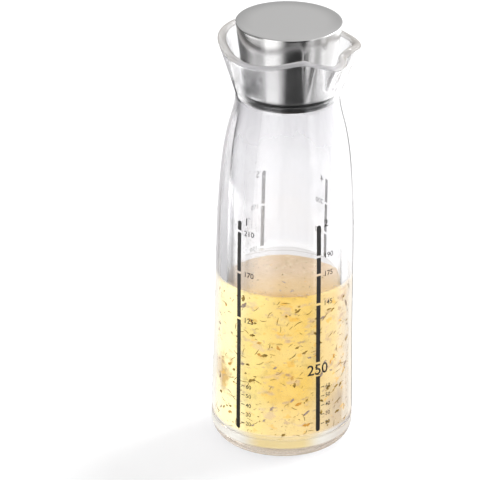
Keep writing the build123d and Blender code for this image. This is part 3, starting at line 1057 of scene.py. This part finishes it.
# what stands round the bottle: degrees from the camera's side, and brightness
surroundings = [
    (-180, 0.85), (-160, 1.20), (-142, 1.65), (-118, 2.05), (-99, 1.85), (-82, 1.35), (-72, 1.0), (-66, 1.1),
    (-61, 1.75), (-48, 2.05), (-27, 1.95), (-4, 0.02), (41, 0.02), (49, 1.6), (53, 1.9), (59, 1.35),
    (64, 1.0), (70, 0.95), (79, 1.15), (95, 1.50), (114, 1.9), (134, 2.3), (148, 2.3), (157, 1.15),
    (168, 0.92), (180, 0.85),
]
worldLook = {
    "brightest": 2.4, "overhead": (0.33, 0.33, 0.33, 1), "overheadFrom": (0.5, 0.8), "even": 0.95,
    "dimmed": (-170, -54), "dimShare": 0.6,  # for what the steel mirrors
}
floorLook = {
    "size": 6.0, "cells": 8, "drop": 0.00005,
    "paper": (0.82, 0.82, 0.82, 1), "glow": 0.14, "nearShade": (0.07, 0.07, 0.07, 1), "least": 0.05,
    # stretches away from the bottle, in metres
    "rings": {
        "near": (0.17, 0.23), "glint": (0.262, 0.272), "sideDims": (0.265, 0.300),
        "glintEnd": (0.285, 0.300), "sideDimsMore": (0.295, 0.315), "topDims": (0.300, 0.325),
        "far": (0.35, 0.39), "farEnd": (0.47, 0.55),
    },
    # sectors in degrees from the camera's side
    "window": (-64, -12), "front": (-110, 72), "left": (-170, -66), "topLeft": (-170, -54),
}


def addCamera():
    c = studio
    turn = Matrix.Rotation(math.radians(c["turn"]), 4, "Z")
    place = Matrix.Translation(Vector((0, -c["distance"], c["height"])) * mm)
    axes = Matrix.Rotation(-c["yaw"], 4, "Z") @ Matrix.Rotation(math.pi / 2 - c["pitch"], 4, "X")
    axes = axes @ Matrix.Rotation(c["roll"], 4, "Z")
    data = bpy.data.cameras.new("camera")
    data.lens, data.sensor_width = c["lens"], c["sensor"]
    data.clip_start, data.clip_end = c["clipStart"], c["clipEnd"]
    camera = addObject("camera", data)
    camera.matrix_world = turn @ place @ axes
    bpy.context.scene.camera = camera


def studioPattern(s, direction):
    # by direction in the room: brightness as a share of the brightest, and angle as a share of the circle
    angle = s.maths("ARCTAN2", asideOf(direction), nearerOf(direction)) / (2 * math.pi) + 0.5
    stops = [((a + 180) / 360, (v / worldLook["brightest"],) * 3) for a, v in surroundings]
    return s.node("ValToRGB", {"stops": stops}, {0: angle}), angle


def between(angle, sector):
    low, high = ((180 + a) / 360 for a in sector)
    return angle.maths("GREATER_THAN", angle, low) * angle.maths("LESS_THAN", angle, high)


def addWorld():
    look = worldLook
    world = bpy.data.worlds.new("studio")
    world.use_nodes = True
    tree = world.node_tree
    tree.nodes.clear()
    s = Signal(tree)
    direction = s.node("TexCoord", None, None, "Generated")
    pattern, angle = studioPattern(s, direction)
    pattern = direction.part("Z").over(*look["overheadFrom"]).tint(pattern, look["overhead"])
    dim = isRay(s, "Glossy") * between(angle, look["dimmed"]) * look["dimShare"]
    room = s.node("Background", None, {"Color": pattern, "Strength": look["brightest"] * (1 - dim)})
    even = s.node("Background", None, {"Color": white, "Strength": look["even"]})
    plain = s.node("Background", None, {"Color": white, "Strength": 1.0})
    mixed = shaderMix(s, isRay(s, "Diffuse"), room, even)
    mixed = shaderMix(s, isRay(s, "Camera"), mixed, plain)
    out = tree.nodes.new("ShaderNodeOutputWorld")
    tree.links.new(mixed.socket, out.inputs["Surface"])
    bpy.context.scene.world = world


def floorMaterial():
    made, s = newMaterial("pale studio floor")
    look = floorLook
    where = s.node("NewGeometry", None, None, "Position")
    pattern, angle = studioPattern(s, where)
    away = fades(s.node("VectorMath", {"operation": "LENGTH"}, {0: where}, "Value"), look["rings"])
    pattern = away("near").tint(look["nearShade"], pattern)
    # further out, the window's light on the floor is strong and the rest is dim
    far = away("far") * (1 - away("farEnd"))
    farLight = far * (between(angle, look["window"]) * 1.2 - between(angle, look["front"]) * 0.88)
    side = 0.95 - away("sideDims") * 1.65 - away("sideDimsMore") * 0.14
    side = side + away("glint") * (1 - away("glintEnd")) * 0.55
    topLeft = between(angle, look["topLeft"]) * away("topDims")
    gain = (1 + farLight + between(angle, look["left"]) * side - topLeft * 0.85).atLeast(look["least"])
    gained = s.node("VectorMath", {"operation": "SCALE"}, {0: pattern, "Scale": gain})
    room = paint(s, {
        "Base Color": (0, 0, 0, 1), "Roughness": 1.0, "Specular IOR Level": 0.0,
        "Emission Color": gained, "Emission Strength": worldLook["brightest"],
    })
    paper = s.node("BsdfDiffuse", None, {"Color": look["paper"]})
    glow = s.node("Emission", None, {"Color": white, "Strength": look["glow"]})
    lit = s.node("AddShader", None, {0: paper, 1: glow})
    seen = shaderMix(s, isRay(s, "Camera").atLeast(isRay(s, "Transmission")), paper, lit)
    glossyDepth = s.node("LightPath", None, None, "Glossy Depth")
    reflected = s.maths("GREATER_THAN", glossyDepth, 0.5)
    return finishMaterial(made, shaderMix(s, reflected, seen, room))


def addFloor():
    size, cells = floorLook["size"], floorLook["cells"]
    steps = np.linspace(-size / 2, size / 2, cells + 1)
    points = [(x, y, -floorLook["drop"]) for y in steps for x in steps]
    corners = [row * (cells + 1) + column for row in range(cells) for column in range(cells)]
    faces = [(c, c + 1, c + cells + 2, c + cells + 1) for c in corners]
    mesh = bpy.data.meshes.new("studio_floor")
    mesh.from_pydata(points, [], faces)
    mesh.materials.append(floorMaterial())
    floor = addObject("studio_floor", mesh)


def addLamp(name, look):
    data = bpy.data.lights.new(name, "AREA")
    data.shape, data.size, data.energy = "DISK", look["size"], look["power"]
    turn, rise = math.radians(look["aside"] - lipAside), math.radians(look["elevation"])
    back = Vector((math.cos(turn) * math.cos(rise), math.sin(turn) * math.cos(rise), math.sin(rise)))
    lamp = addObject(name, data)
    lamp.location = Vector((0, 0, look["target"])) + back * look["distance"]
    lamp.rotation_mode = "QUATERNION"
    lamp.rotation_quaternion = (-back).to_track_quat("-Z", "Y")


addCamera()
addWorld()
addFloor()
addLamp("key", keyLamp)
bpy.context.scene.view_settings.view_transform = "Standard"
paths = bpy.context.scene.cycles
paths.max_bounces = paths.transmission_bounces = paths.transparent_max_bounces = studio["bounces"]
paths.glossy_bounces = studio["glossyBounces"]
print("studio made")
